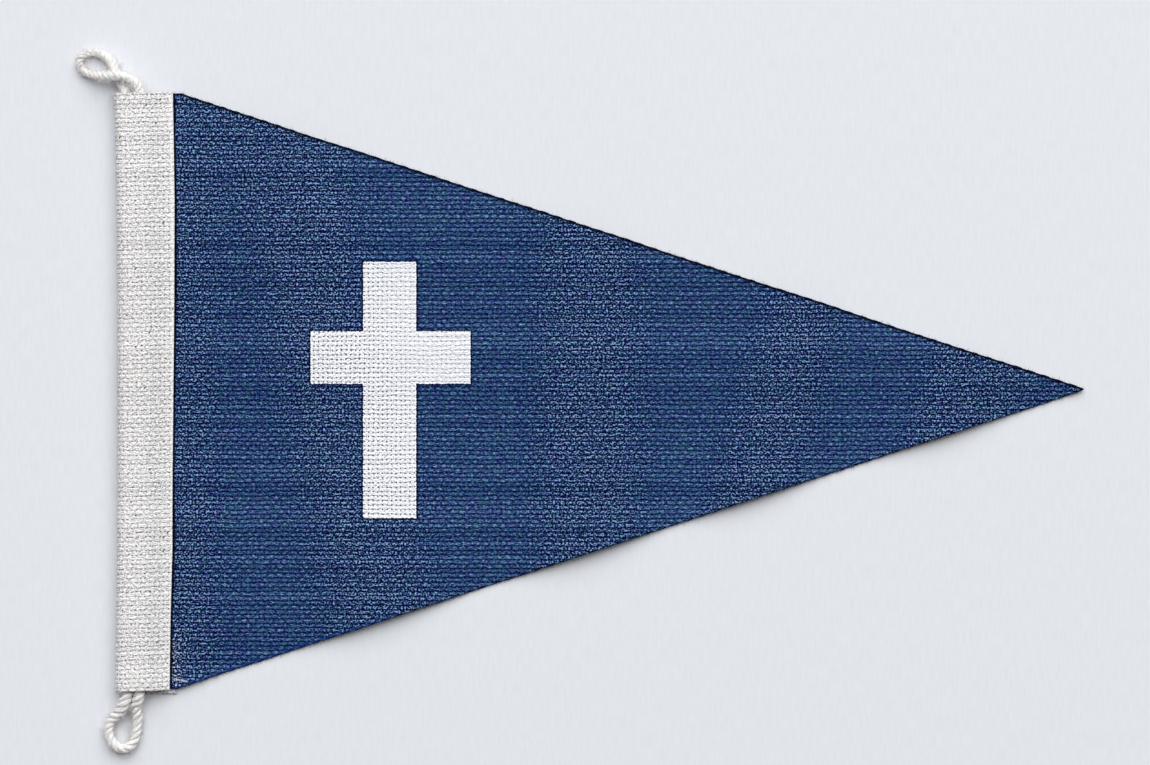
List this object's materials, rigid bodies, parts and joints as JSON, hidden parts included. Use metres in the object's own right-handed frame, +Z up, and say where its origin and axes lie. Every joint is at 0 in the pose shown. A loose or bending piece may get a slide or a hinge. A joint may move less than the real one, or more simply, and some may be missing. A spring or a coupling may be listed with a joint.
{
  "type": "vehicle pennant",
  "caption": "Small triangular cotton pennant with a cross, a white folded heading and a hoist cord looped at both ends, lying flat.",
  "frame": {"origin": "middle of the box of the cloth, the fly and heading without the cord, at its bottom on the surface it lies on", "axes": "+X from the hoist to the tip, +Y up the hoist as pictured, +Z up out of the surface it lies on"},
  "size_m": [0.1707, 0.1194, 0.0043],
  "materials": {
    "blue_cloth": "matte printed plain-weave cotton",
    "white_cloth": "matte plain-weave cotton",
    "cord": "matte twisted cotton"
  },
  "bodies": {
    "root": {"fly": "blue_cloth", "heading": "white_cloth", "hoist_cord": "cord"}
  },
  "joints": []
}
